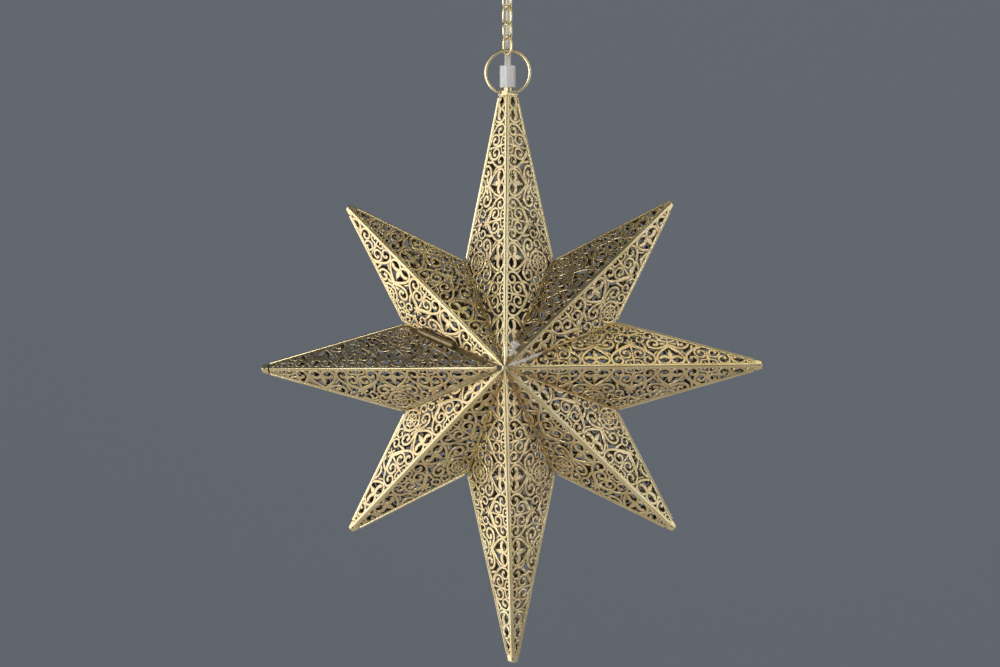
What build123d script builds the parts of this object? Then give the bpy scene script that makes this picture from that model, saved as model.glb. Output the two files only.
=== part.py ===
from build123d import *
from math import cos, pi, radians, sin, sqrt, tan
import os

# Advent star lamp: a hollow eight-pointed star of pierced sheet on a chain, in millimetres.
# The origin is on the ceiling, above the star's middle. +Z is up and the front faces -Y.

# Ceiling strap and hook
strap_length = 76.0
strap_width = 14.0
strap_thickness = 2.0
strap_foot_length = 16.0
strap_slope_run = 6.0
strap_drop = 8.0
strap_tab_width = 20.0
strap_corner = 3.0
screw_spacing = 60.0
screw_hole_diameter = 4.5
hook_rod_diameter = 6.0
hook_rod_clearance = 0.2
hook_rod_above_nut = 0.5
hook_eye_radius = 7.0
hook_eye_wire = 3.5
hook_nut_flats = 10.0
hook_nut_height = 5.0

# Rose cup, collar, bush and terminals
cup_diameter = 92.0
cup_height = 40.0
cup_wall = 1.0
cup_floor_diameter = 54.0
cup_lip_height = 4.0
cup_bulge = 5.0
collar_diameter = 18.0
collar_height = 5.0
collar_to_eye = 0.5
collar_chamfer = 1.0
bush_body_diameter = 8.4
bush_flange_diameter = 11.0
bush_flange_height = 1.6
bush_nose_length = 4.0
bush_fit = 0.1
terminal_length = 18.0
terminal_width = 12.0
terminal_height = 12.0
terminal_round = 1.0
terminal_screw_diameter = 3.2
terminal_screw_length = 5.0
terminal_screw_spacing = 8.0
terminal_screw_fit = 0.1
terminal_flex_depth = 5.0

# Flat twin flex: its section, the gap in the holes that it passes, and its route behind the chain
flex_width = 5.6
flex_thickness = 2.8
flex_clearance = 0.2
flex_back = 17.0

# Chain
link_count = 6
link_wire = 2.0
link_inner_width = 7.6
link_pitch = 12.6
link_gap = 0.4
odd_link_turn = 50.0
even_link_turn = -40.0

# Hanging ring, open at the bottom, with its ends turned in to pivot in the cap's ears
ring_outer_diameter = 40.0
ring_wire = 3.0
ring_end_angle = 55.0
ring_end_bend = 4.0
ring_pin_tip = 5.7
ring_gap = 0.8

# Star: radii of the sharp corners from its middle, and half its depth at the middle
point_step = 45.0
notch_step = point_step / 2
ring_below_tip = 19.6
star_half_depth = 60.0
notch_radius = 97.4
long_tip_radius = 267.0
side_tip_radius = 222.6
short_tip_radius = 201.6
long_tip_blunt = 19.0
side_tip_blunt = 11.6
short_tip_blunt = 8.6
sheet_thickness = 0.6

# Seams of the star: wires soldered along the ridges and the outline
bead_diameter = 2.2
bead_depth = 0.9
bead_gap = 0.05
valley_gap = 0.1
apex_cut = 4.6
bead_start = 3.4
boss_diameter = 4.6
boss_height = 4.4
boss_stand = 0.9
wire_end_gap = 1.8
cap_length = 6.0
cap_stand = 0.5
cap_round = 1.5
cap_hole_diameter = 1.6
cap_gap = 0.05

# Piercings: rows of round holes that repeat along each ridge
pattern_pitch = 63.7
pierce_margin = 1.3
medallion_row = 33.0
medallion_radius = 6.2
medallion_hole = 2.4
medallion_count = 6
heart_start = {"long": 31.0, "side": 13.9, "short": 22.0}

# Top fitting: cap with ears, tube, nuts and cord grip
ear_thickness = 1.0
ear_width = 4.6
ear_middle = 6.7
ear_hole_clearance = 0.2
ear_cover = 2.3
cap_plate_thickness = 1.0
plate_below_pivot = 2.4
tube_diameter = 8.0
tube_bore = 6.2
tube_clearance = 0.1
tube_nut_flats = 10.0
tube_nut_height = 2.6
grip_diameter = 13.6
grip_height = 18.6
grip_above_nut = 2.6
grip_round = 0.8
grip_thread_depth = 8.0
grip_screw_diameter = 5.0
grip_screw_height = 13.0
grip_screw_stand = 1.2
grip_screw_slot = 0.8

# Lampholder and bulb, measured from the star's middle
holder_top = 92.0
holder_diameter = 32.0
holder_cap_height = 20.0
holder_cap_neck = 14.0
holder_body_height = 42.0
holder_wall = 2.0
holder_socket_wall = 1.6
holder_socket_depth = 32.0
tube_in_holder = 10.0
shell_thickness = 0.5
shell_length = 24.0
shell_clearance = 0.2
bulb_cap_diameter = 13.8
bulb_cap_length = 22.0
bulb_cap_clearance = 0.3
bulb_diameter = 45.0
bulb_glass_length = 52.0
bulb_neck_diameter = 12.6
bulb_neck_angle = 50.0
bulb_in_socket = 3.0

# Door hinge, in the valley above the left point
door_gap = 0.35
door_apex_cut = 7.0
door_bead_start = 7.4
door_end_gap = 1.3
hinge_start = 22.0
knuckle_length = 12.6
knuckle_gap = 0.3
knuckle_diameter = 4.8
hinge_pin_diameter = 2.0
hinge_pin_clearance = 0.08
hinge_pin_head = 3.4
hinge_pin_head_height = 0.8
hinge_head_gap = 0.1
hinge_face_gap = 0.3
hinge_foot_width = 2.0
strip_width = 4.0
strip_thickness = 0.5
strip_valley_gap = 0.5
strip_notch_gap = 10.0
strip_apex_gap = 18.0

os.makedirs("parts", exist_ok=True)


def save(piece, label):
    """Name a finished piece and write it."""
    piece.part.label = label
    export_step(piece.part, f"parts/{label}.step")


# Heights that follow from the sizes above
bridge_top = -strap_drop
bridge_bottom = bridge_top - strap_thickness
hook_rod_top = bridge_top + hook_nut_height + hook_rod_above_nut
cup_bottom = -cup_height
collar_bottom = cup_bottom - collar_height
hook_wire_radius = hook_eye_wire / 2
hook_eye_z = collar_bottom - collar_to_eye - hook_eye_radius - hook_wire_radius
hook_wire_z = hook_eye_z - hook_eye_radius
bush_mouth = cup_bottom - bush_flange_height - bush_nose_length
terminal_bottom = bridge_bottom - terminal_height

link_radius = link_wire / 2
link_inner_length = link_pitch + link_gap
first_link_top = hook_wire_z + hook_wire_radius + link_gap
ring_wire_radius = ring_wire / 2
ring_radius = ring_outer_diameter / 2 - ring_wire_radius
last_link_bottom = first_link_top - (link_count - 1) * link_pitch - link_inner_length
ring_top = last_link_bottom + ring_gap + ring_wire_radius
ring_z = ring_top - ring_radius

ring_end_drop = ring_end_bend * (1 - cos(radians(90 - ring_end_angle)))
pivot_z = ring_z - ring_radius * sin(radians(ring_end_angle)) - ring_end_drop
plate_top = pivot_z - plate_below_pivot
rim_z = plate_top - cap_plate_thickness
nut_top = plate_top + tube_nut_height
grip_bottom = nut_top + grip_above_nut
grip_top = grip_bottom + grip_height
tube_top = grip_bottom + grip_thread_depth
star_z = ring_z + ring_below_tip - long_tip_radius

holder_cap_bottom = star_z + holder_top - holder_cap_height
holder_bottom = holder_cap_bottom - holder_body_height
tube_bottom = star_z + holder_top - tube_in_holder
bulb_shoulder = holder_bottom + bulb_in_socket


def hexagon_nut(flats, height, bore, bottoms, turn=0):
    """Hexagon nuts on the middle axis, one standing on each height in bottoms."""
    with BuildPart() as nut:
        for bottom in bottoms:
            with BuildSketch(Plane.XY.offset(bottom)):
                RegularPolygon(flats / 2, 6, major_radius=False, rotation=turn)
                Circle(bore / 2, mode=Mode.SUBTRACT)
            extrude(amount=height)
    return nut


# Ceiling end

with BuildPart() as ceiling_strap:
    bridge_half = strap_length / 2 - strap_foot_length - strap_slope_run
    foot_start = strap_length / 2 - strap_foot_length
    with BuildSketch(Plane.XZ):
        with BuildLine():
            Polyline(
                (-strap_length / 2, 0),
                (-foot_start, 0),
                (-bridge_half, bridge_top),
                (bridge_half, bridge_top),
                (foot_start, 0),
                (strap_length / 2, 0),
                (strap_length / 2, -strap_thickness),
                (foot_start - strap_thickness / 2, -strap_thickness),
                (bridge_half - strap_thickness / 2, bridge_bottom),
                (-bridge_half + strap_thickness / 2, bridge_bottom),
                (-foot_start + strap_thickness / 2, -strap_thickness),
                (-strap_length / 2, -strap_thickness),
                close=True,
            )
        make_face()
    extrude(amount=strap_width / 2, both=True)
    fillet(ceiling_strap.edges().filter_by(Axis.Z), strap_corner)
    tab_reach = flex_back + terminal_width / 2
    with BuildSketch(Plane.XY.offset(bridge_bottom)):
        with Locations((0, tab_reach / 2)):
            Rectangle(strap_tab_width, tab_reach)
    extrude(amount=strap_thickness)
    with BuildSketch(Plane.XY.offset(bridge_bottom)):
        Circle(hook_rod_diameter / 2 + hook_rod_clearance)
        with Locations((-screw_spacing / 2, 0), (screw_spacing / 2, 0)):
            Circle(screw_hole_diameter / 2)
    extrude(amount=strap_drop + strap_thickness, mode=Mode.SUBTRACT)
save(ceiling_strap, "ceiling_strap")

with BuildPart() as hook_eye:
    with Locations((0, 0, hook_eye_z)):
        Torus(hook_eye_radius, hook_wire_radius, rotation=(90, 0, 0))
    with BuildSketch(Plane.XY.offset(hook_rod_top)):
        Circle(hook_rod_diameter / 2)
    extrude(amount=-(hook_rod_top - hook_eye_z - hook_eye_radius))
save(hook_eye, "hook_eye")

hook_nut_bore = hook_rod_diameter + 2 * bush_fit
hook_nuts = hexagon_nut(
    hook_nut_flats, hook_nut_height, hook_nut_bore, (bridge_top, bridge_bottom - hook_nut_height)
)
save(hook_nuts, "hook_nuts")

with BuildPart() as rose_cup:
    with BuildSketch(Plane.XZ):
        with BuildLine():
            lip = Line((cup_diameter / 2, 0), (cup_diameter / 2, -cup_lip_height))
            floor_edge = (cup_floor_diameter / 2, cup_bottom)
            side = SagittaArc(lip @ 1, floor_edge, cup_bulge)
            Polyline(side @ 1, (0, cup_bottom), (0, 0), lip @ 0)
        make_face()
    revolve(axis=Axis.Z)
    offset(amount=-cup_wall, openings=rose_cup.faces().sort_by(Axis.Z)[-1])
    with BuildSketch(Plane.XY.offset(cup_bottom)):
        Circle(hook_rod_diameter / 2 + hook_rod_clearance)
        with Locations((0, flex_back)):
            Circle(bush_body_diameter / 2 + bush_fit)
    extrude(amount=cup_wall, mode=Mode.SUBTRACT)
save(rose_cup, "rose_cup")

with BuildPart() as cup_collar:
    with BuildSketch(Plane.XY.offset(collar_bottom)):
        Circle(collar_diameter / 2)
        Circle(hook_nut_bore / 2, mode=Mode.SUBTRACT)
    extrude(amount=collar_height)
    outer_edges = cup_collar.edges().filter_by(GeomType.CIRCLE).group_by(SortBy.RADIUS)[-1]
    chamfer(outer_edges, collar_chamfer)
save(cup_collar, "cup_collar")

with BuildPart() as flex_bush:
    with BuildSketch(Plane.XY.offset(cup_bottom)):
        with Locations((0, flex_back)):
            Circle(bush_body_diameter / 2)
    extrude(amount=cup_wall + bush_flange_height)
    with BuildSketch(Plane.XY.offset(cup_bottom)):
        with Locations((0, flex_back)):
            Circle(bush_flange_diameter / 2)
    extrude(amount=-bush_flange_height)
    nose_top = cup_bottom - bush_flange_height
    with BuildSketch(Plane.XY.offset(nose_top)):
        with Locations((0, flex_back)):
            Circle(bush_body_diameter / 2)
    with BuildSketch(Plane.XY.offset(bush_mouth)):
        with Locations((0, flex_back)):
            Circle(flex_width / 2 + 3 * flex_clearance)
    loft()
    with BuildSketch(Plane.XY.offset(bush_mouth)):
        with Locations((0, flex_back)):
            SlotOverall(flex_width + 2 * flex_clearance, flex_thickness + 2 * flex_clearance)
    extrude(amount=cup_height, mode=Mode.SUBTRACT)
save(flex_bush, "flex_bush")

with BuildPart() as terminal_block:
    with BuildSketch(Plane.XY.offset(terminal_bottom)):
        with Locations((0, flex_back)):
            Rectangle(terminal_length, terminal_width)
    extrude(amount=terminal_height)
    fillet(terminal_block.edges().filter_by(Axis.Z), terminal_round)
    with BuildSketch(Plane.XY.offset(terminal_bottom)):
        with Locations((0, flex_back)):
            SlotOverall(flex_width + 2 * flex_clearance, flex_thickness + 2 * flex_clearance)
    extrude(amount=terminal_flex_depth, mode=Mode.SUBTRACT)
    screw_level = terminal_bottom + terminal_height / 2
    with BuildSketch(Plane.XZ.offset(-flex_back - terminal_width / 2)):
        with Locations((0, screw_level)):
            with GridLocations(terminal_screw_spacing, 0, 2, 1):
                Circle(terminal_screw_diameter / 2 + terminal_screw_fit)
    extrude(amount=terminal_screw_length, mode=Mode.SUBTRACT)
save(terminal_block, "terminal_block")

with BuildPart() as terminal_screws:
    with BuildSketch(Plane.XZ.offset(-flex_back - terminal_width / 2)):
        with Locations((0, screw_level)):
            with GridLocations(terminal_screw_spacing, 0, 2, 1):
                Circle(terminal_screw_diameter / 2)
    extrude(amount=terminal_screw_length - terminal_screw_fit)
save(terminal_screws, "terminal_screws")


# Flex: its route from the bush down to the cord grip, in the plane that halves the lamp

flex_start = cup_bottom - bush_flange_height
flex_route = [
    Vector(0, flex_back, flex_start),
    Vector(0, 17.6, -66.5),
    Vector(0, 17.9, -88.6),
    Vector(0, 16.8, -108.6),
    Vector(0, 12.6, -128.2),
    Vector(0, 0, grip_top + 5.0),
    Vector(0, 0, grip_top - 6.0),
]
arc_share = 0.45


def route_radii(points):
    """The radius of each bend of a route, as large as its two runs allow."""
    radii = []
    for before, here, after in zip(points, points[1:], points[2:]):
        turn = (here - before).get_angle(after - here)
        run = min((here - before).length, (after - here).length)
        radii.append(arc_share * run / tan(radians(turn / 2)))
    return radii


def flex_piece(points, label):
    """A length of flex along a route, with its flat side towards the chain."""
    radii = route_radii(points)
    with BuildPart() as piece:
        with BuildLine() as path:
            FilletPolyline(*points, radius=radii)
        length = path.wires()[0].length
        with BuildSketch(Plane(points[0], x_dir=(1, 0, 0), z_dir=points[1] - points[0])):
            SlotOverall(flex_width, flex_thickness)
        sweep()
    section = flex_thickness * (flex_width - flex_thickness) + pi * flex_thickness**2 / 4
    share = piece.part.volume / (section * length)
    bends = ", ".join(f"{radius:.1f}" for radius in radii)
    print(f"{label}: length {length:.1f}, bends {bends}, volume share {share:.3f}")
    save(piece, label)


upper_end = (flex_route[1] + flex_route[2]) * 0.5
middle_end = (flex_route[3] + flex_route[4]) * 0.5
flex_piece([flex_route[0], flex_route[1], upper_end], "flex_upper")
flex_piece([upper_end, flex_route[2], flex_route[3], middle_end], "flex_middle")
flex_piece([middle_end, flex_route[4], flex_route[5], flex_route[6]], "flex_lower")

with BuildPart() as flex_tail:
    with BuildSketch(Plane.XY.offset(flex_start + flex_clearance / 2)):
        with Locations((0, flex_back)):
            SlotOverall(flex_width, flex_thickness)
    extrude(amount=terminal_bottom + terminal_flex_depth - 1.5 * flex_clearance - flex_start)
save(flex_tail, "flex_tail")

with BuildPart() as inner_flex:
    inner_flex_end = tube_bottom - flex_width
    with BuildSketch(Plane.XY.offset(flex_route[-1].Z)):
        SlotOverall(flex_width, flex_thickness)
    extrude(amount=inner_flex_end - flex_route[-1].Z)
save(inner_flex, "inner_flex")


# Chain

link_loop_radius = link_inner_width / 2 + link_radius
link_leg = link_inner_length + link_wire - 2 * link_loop_radius

for number in range(1, link_count + 1):
    link_middle = first_link_top - (number - 1) * link_pitch - link_inner_length / 2
    turned = radians(odd_link_turn if number % 2 else even_link_turn)
    across = Vector(cos(turned), sin(turned), 0)
    link_plane = Plane((0, 0, link_middle), x_dir=across, z_dir=across.cross(Vector(0, 0, 1)))
    with BuildPart() as chain_link:
        with BuildLine(link_plane) as loop:
            right = Line((link_loop_radius, -link_leg / 2), (link_loop_radius, link_leg / 2))
            top = CenterArc((0, link_leg / 2), link_loop_radius, 0, 180)
            left = Line(top @ 1, (-link_loop_radius, -link_leg / 2))
            CenterArc((0, -link_leg / 2), link_loop_radius, 180, 180)
        with BuildSketch(Plane(right @ 0.5, z_dir=right % 0.5)):
            Circle(link_radius)
        sweep(path=loop.wires()[0])
    save(chain_link, f"chain_link_{number}")


# Hanging ring

with BuildPart() as hanging_ring:
    with BuildLine(Plane.XZ) as bail:
        sweep_angle = 180 + 2 * ring_end_angle
        arc = CenterArc((0, ring_z), ring_radius, -ring_end_angle, sweep_angle)
        bend_angle = 90 - ring_end_angle
        bend_centre = (ring_radius - ring_end_bend) * cos(radians(ring_end_angle))
        bend_level = ring_z - (ring_radius - ring_end_bend) * sin(radians(ring_end_angle))
        right_bend = CenterArc((bend_centre, bend_level), ring_end_bend, -90, bend_angle)
        left_bend = CenterArc((-bend_centre, bend_level), ring_end_bend, 180 + ring_end_angle, bend_angle)
        right_pin = Line((ring_pin_tip, pivot_z), right_bend @ 0)
        Line(left_bend @ 1, (-ring_pin_tip, pivot_z))
    with BuildSketch(Plane(right_pin @ 0, z_dir=right_pin % 0)):
        Circle(ring_wire_radius)
    sweep(path=bail.wires()[0])
save(hanging_ring, "hanging_ring")


# Top fitting of the star

with BuildPart() as hanger_cap:
    with BuildSketch(Plane.XY.offset(rim_z)):
        rim_share = (long_tip_radius - (rim_z - star_z)) / long_tip_radius
        notch_reach = notch_radius * cos(radians(notch_step))
        notch_half = notch_radius * sin(radians(notch_step))
        rim_half_width = notch_half * (long_tip_radius - (rim_z - star_z)) / (long_tip_radius - notch_reach)
        rim_half_depth = star_half_depth * rim_share
        with BuildLine():
            Polyline(
                (rim_half_width, 0),
                (0, rim_half_depth),
                (-rim_half_width, 0),
                (0, -rim_half_depth),
                close=True,
            )
        make_face()
        Rectangle(2 * ear_middle + ear_thickness, ear_width)
        Circle(tube_diameter / 2 + tube_clearance, mode=Mode.SUBTRACT)
    extrude(amount=cap_plate_thickness)
    ear_height = pivot_z + ear_cover - plate_top
    for side in (-1, 1):
        with BuildSketch(Plane.YZ.offset(side * ear_middle)):
            with Locations((0, pivot_z)):
                Circle(ear_width / 2)
            with Locations((0, (plate_top + pivot_z) / 2)):
                Rectangle(ear_width, pivot_z - plate_top)
            with Locations((0, pivot_z)):
                Circle(ring_wire_radius + ear_hole_clearance, mode=Mode.SUBTRACT)
        extrude(amount=ear_thickness / 2, both=True)
save(hanger_cap, "hanger_cap")

with BuildPart() as threaded_tube:
    with BuildSketch(Plane.XY.offset(tube_bottom)):
        Circle(tube_diameter / 2)
        Circle(tube_bore / 2, mode=Mode.SUBTRACT)
    extrude(amount=tube_top - tube_bottom)
save(threaded_tube, "threaded_tube")

tube_nut_bore = tube_diameter + 2 * tube_clearance
tube_nut_top = hexagon_nut(tube_nut_flats, tube_nut_height, tube_nut_bore, (plate_top,), 30)
save(tube_nut_top, "tube_nut_top")
tube_nut_bottom = hexagon_nut(tube_nut_flats, tube_nut_height, tube_nut_bore, (star_z + holder_top,), 30)
save(tube_nut_bottom, "tube_nut_bottom")

with BuildPart() as cord_grip:
    with BuildSketch(Plane.XY.offset(grip_bottom)):
        Circle(grip_diameter / 2)
    extrude(amount=grip_height)
    fillet(cord_grip.edges().filter_by(GeomType.CIRCLE), grip_round)
    with BuildSketch(Plane.XY.offset(grip_bottom)):
        Circle(tube_diameter / 2 + tube_clearance)
    extrude(amount=grip_thread_depth + tube_clearance, mode=Mode.SUBTRACT)
    with BuildSketch(Plane.XY.offset(grip_bottom)):
        SlotOverall(flex_width + 2 * flex_clearance, flex_thickness + 2 * flex_clearance)
    extrude(amount=grip_height, mode=Mode.SUBTRACT)
    screw_z = grip_bottom + grip_screw_height
    with BuildSketch(Plane.XZ.offset(-grip_diameter)):
        with Locations((0, screw_z)):
            Circle(grip_screw_diameter / 2 + tube_clearance)
    extrude(amount=grip_diameter - flex_thickness / 2, mode=Mode.SUBTRACT)
save(cord_grip, "cord_grip")

with BuildPart() as cord_grip_screw:
    screw_end = flex_thickness / 2 + tube_clearance
    screw_head = grip_diameter / 2 + grip_screw_stand
    with BuildSketch(Plane.XZ.offset(-screw_head)):
        with Locations((0, screw_z)):
            Circle(grip_screw_diameter / 2)
    extrude(amount=screw_head - screw_end)
    with BuildSketch(Plane.XZ.offset(-screw_head)):
        with Locations((0, screw_z)):
            Rectangle(grip_screw_diameter, grip_screw_slot)
    extrude(amount=grip_screw_stand, mode=Mode.SUBTRACT)
save(cord_grip_screw, "cord_grip_screw")


# Lampholder and bulb

holder_radius = holder_diameter / 2
socket_radius = bulb_cap_diameter / 2 + bulb_cap_clearance + shell_thickness + shell_clearance

with BuildPart() as lampholder_cap:
    with BuildSketch(Plane.XZ):
        bore = tube_diameter / 2 + tube_clearance
        neck = holder_cap_neck / 2
        cap_top = star_z + holder_top
        shoulder = cap_top - holder_wall - holder_radius + neck
        with BuildLine():
            Polyline(
                (bore, cap_top),
                (neck, cap_top),
                (neck, cap_top - holder_wall),
                (holder_radius, shoulder),
                (holder_radius, holder_cap_bottom),
                (holder_radius - holder_wall, holder_cap_bottom),
                (holder_radius - holder_wall, shoulder),
                (neck - holder_wall / 2, cap_top - 2 * holder_wall),
                (bore, cap_top - 2 * holder_wall),
                close=True,
            )
        make_face()
    revolve(axis=Axis.Z)
    outer_edges = lampholder_cap.edges().filter_by(GeomType.CIRCLE).group_by(SortBy.RADIUS)[-1]
    fillet(outer_edges.sort_by(Axis.Z)[-1], holder_wall)
save(lampholder_cap, "lampholder_cap")

with BuildPart() as lampholder_body:
    with BuildSketch(Plane.XY.offset(holder_bottom)):
        Circle(holder_radius)
        Circle(holder_radius - holder_wall, mode=Mode.SUBTRACT)
    extrude(amount=holder_body_height)
    with BuildSketch(Plane.XY.offset(holder_bottom)):
        Circle(holder_radius - holder_wall)
        Circle(socket_radius, mode=Mode.SUBTRACT)
    extrude(amount=holder_wall)
    with BuildSketch(Plane.XY.offset(holder_bottom)):
        Circle(socket_radius + holder_socket_wall)
        Circle(socket_radius, mode=Mode.SUBTRACT)
    extrude(amount=holder_socket_depth)
    with BuildSketch(Plane.XY.offset(holder_bottom + holder_socket_depth)):
        Circle(holder_radius - holder_wall)
        Circle(tube_diameter / 2, mode=Mode.SUBTRACT)
    extrude(amount=-holder_wall)
save(lampholder_body, "lampholder_body")

with BuildPart() as lampholder_contacts:
    shell_radius = socket_radius - shell_clearance
    shell_top = holder_bottom + holder_socket_depth - holder_wall
    with BuildSketch(Plane.XY.offset(shell_top)):
        Circle(shell_radius)
        Circle(shell_radius - shell_thickness, mode=Mode.SUBTRACT)
    extrude(amount=-shell_length)
    with BuildSketch(Plane.XY.offset(shell_top)):
        Circle(shell_radius)
    extrude(amount=-shell_thickness)
    with BuildSketch(Plane.XY.offset(shell_top)):
        Circle(tube_diameter / 4)
    extrude(amount=bulb_shoulder + bulb_cap_length + bulb_cap_clearance - shell_top)
save(lampholder_contacts, "lampholder_contacts")

with BuildPart() as bulb_cap:
    with BuildSketch(Plane.XY.offset(bulb_shoulder)):
        Circle(bulb_cap_diameter / 2)
    extrude(amount=bulb_cap_length)
    fillet(bulb_cap.edges().group_by(Axis.Z)[-1], bulb_cap_diameter / 6)
save(bulb_cap, "bulb_cap")

with BuildPart() as bulb_glass:
    with BuildSketch(Plane.XZ):
        with BuildLine():
            ball = bulb_diameter / 2
            ball_z = bulb_shoulder - bulb_glass_length + ball
            neck_angle = radians(bulb_neck_angle)
            neck_point = (ball * cos(neck_angle), ball_z + ball * sin(neck_angle))
            Line((0, bulb_shoulder), (bulb_neck_diameter / 2, bulb_shoulder))
            Spline(
                (bulb_neck_diameter / 2, bulb_shoulder),
                neck_point,
                tangents=[(0, -1), (sin(neck_angle), -cos(neck_angle))],
            )
            CenterArc((0, ball_z), ball, bulb_neck_angle, -90 - bulb_neck_angle)
            Line((0, ball_z - ball), (0, bulb_shoulder))
        make_face()
    revolve(axis=Axis.Z)
save(bulb_glass, "bulb_glass")


# Star: the corners of its points and the planes of its leaves

point_names = ["e", "ne", "n", "nw", "w", "sw", "s", "se"]
point_angle = {name: point_step * step for step, name in enumerate(point_names)}
tip_radii = {"long": long_tip_radius, "side": side_tip_radius, "short": short_tip_radius}
tip_blunts = {"long": long_tip_blunt, "side": side_tip_blunt, "short": short_tip_blunt}
star_middle = Vector(0, 0, star_z)


def kind(name):
    """Which of the three shapes a point has."""
    if len(name) == 2:
        return "short"
    return "long" if name in "ns" else "side"


def towards(angle):
    """The direction of an angle in the star's own plane, counted from the right."""
    return Vector(cos(radians(angle)), 0, sin(radians(angle)))


def apex(face):
    """The middle of the front (face -1) or of the back (face 1)."""
    return star_middle + Vector(0, face * star_half_depth, 0)


def tip(name):
    """The sharp corner that a point's edges run to."""
    return star_middle + towards(point_angle[name]) * tip_radii[kind(name)]


def notch(name, side):
    """The corner between a point and its neighbour on one side."""
    return star_middle + towards(point_angle[name] + side * notch_step) * notch_radius


def leaf_normal(name, side, face):
    """The outward direction of one flat leaf of a point."""
    normal = (tip(name) - apex(face)).cross(notch(name, side) - apex(face)).normalized()
    return normal if normal.Y * face > 0 else -normal


def cap_base(name):
    """How far from the star's middle a point's tip cap starts."""
    return tip_radii[kind(name)] - tip_blunts[kind(name)] - cap_length


def seam_inset(first, second):
    """How far a leaf stops from the seam of two leaves, beside the wire that is soldered there."""
    half = (180 - first.get_angle(second)) / 2
    return bead_depth * cos(radians(half)) + bead_diameter / 2 + bead_gap


def cut(points, place, direction):
    """The part of a flat polygon on the side of a plane that a direction points to."""
    kept = []
    for here, after in zip(points, points[1:] + points[:1]):
        a = (here - place).dot(direction)
        b = (after - place).dot(direction)
        if a >= 0:
            kept.append(here)
        if a * b < 0:
            kept.append(here + (after - here) * (a / (a - b)))
    return kept


def leaf_corners(name, side, face, door=False):
    """The corners of one flat leaf, clear of its seams."""
    top, end, low = apex(face), tip(name), notch(name, side)
    normal = leaf_normal(name, side, face)
    extra = door_gap if door else 0

    def inside(first, second):
        across = normal.cross(second - first).normalized()
        middle = (top + end + low) * (1 / 3)
        return across if (middle - first).dot(across) > 0 else -across

    corners = [top, end, low]
    ridge = inside(top, end)
    ridge_inset = seam_inset(normal, leaf_normal(name, -side, face))
    corners = cut(corners, top + ridge * ridge_inset, ridge)
    outline = inside(low, end)
    outline_inset = seam_inset(normal, leaf_normal(name, side, -face)) + extra
    corners = cut(corners, low + outline * outline_inset, outline)
    valley = inside(top, low)
    corners = cut(corners, top + valley * (valley_gap + extra), valley)
    inward = ((end - top).normalized() + (low - top).normalized()).normalized()
    corners = cut(corners, top + inward * (door_apex_cut if door else apex_cut), inward)
    radial = towards(point_angle[name])
    reach = cap_base(name) - (door_end_gap if door else cap_gap)
    if name == "n":
        reach = rim_z - star_z - cap_gap
    return cut(corners, star_middle + radial * reach, -radial)


def motif_holes():
    """The round piercings of one repeat of the pattern: distance along and from the ridge, and radius."""
    half = pattern_pitch / 2
    middle = [(0, 17.5, 2.6), (half, 13.5, 2.0), (half, 29, 3.6), (half, 40, 3.2), (0, 46, 2.6)]
    paired = [
        (6.2, 8.5, 4.0),
        (16.5, 6.5, 3.0),
        (16.5, 14.5, 3.0),
        (10.0, 22.5, 3.4),
        (16.5, 27.0, 2.6),
        (16.5, 38.0, 3.0),
        (half - 7, 8.0, 4.2),
        (half - 7, 19.0, 4.2),
        (half - 10, 31.5, 3.2),
        (half - 8, 42.0, 2.6),
    ]
    step = 2 * pi / medallion_count
    ring = [
        (medallion_radius * sin(n * step), medallion_row + medallion_radius * cos(n * step), medallion_hole)
        for n in range(medallion_count)
    ]
    return middle + paired + [(-u, v, r) for u, v, r in paired] + ring + [(0, medallion_row, medallion_hole)]


def edge_distance(point, corners):
    """The distance from a point to the nearest edge of a flat polygon, below 0 outside it."""
    turn = 0
    nearest = None
    for here, after in zip(corners, corners[1:] + corners[:1]):
        turn += here[0] * after[1] - here[1] * after[0]
    for here, after in zip(corners, corners[1:] + corners[:1]):
        along = (after[0] - here[0], after[1] - here[1])
        length = sqrt(along[0] ** 2 + along[1] ** 2)
        across = (along[0] * (point[1] - here[1]) - along[1] * (point[0] - here[0])) / length
        across = across if turn > 0 else -across
        nearest = across if nearest is None else min(nearest, across)
    return nearest


def pierced_leaf(name, side, face, door=False):
    """One flat leaf with its piercings, added to the part that is being built."""
    corners = leaf_corners(name, side, face, door)
    plane = Plane(apex(face), x_dir=tip(name) - apex(face), z_dir=leaf_normal(name, side, face))
    flat = [plane.to_local_coords(corner) for corner in corners]
    flat = [(corner.X, corner.Y) for corner in flat]
    hand = 1 if plane.to_local_coords(notch(name, side)).Y > 0 else -1
    repeats = int(tip_radii[kind(name)] / pattern_pitch) + 2
    holes = {}
    for repeat in range(-1, repeats):
        start = heart_start[kind(name)] + repeat * pattern_pitch
        for u, v, radius in motif_holes():
            place = (start + u, hand * v)
            if edge_distance(place, flat) >= radius + pierce_margin:
                holes.setdefault(radius, set()).add((round(place[0], 4), round(place[1], 4)))
    with BuildSketch(plane) as outline:
        with BuildLine():
            Polyline(*flat, close=True)
        make_face()
        for radius, places in holes.items():
            with Locations(*sorted(places)):
                Circle(radius, mode=Mode.SUBTRACT)
    extrude(outline.sketch, amount=-sheet_thickness)


for face, face_name in ((-1, "front"), (1, "back")):
    for name in point_names:
        is_door = face < 0 and name == "w"
        with BuildPart() as panel:
            for side in (-1, 1):
                pierced_leaf(name, side, face, is_door)
        save(panel, "door_panel" if is_door else f"{face_name}_panel_{name}")


# Seams of the star

def rod(start, end, diameter):
    """A round wire between two points, added to the part that is being built."""
    with BuildSketch(Plane(start, z_dir=end - start)) as section:
        Circle(diameter / 2)
    extrude(section.sketch, amount=(end - start).length)


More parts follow.
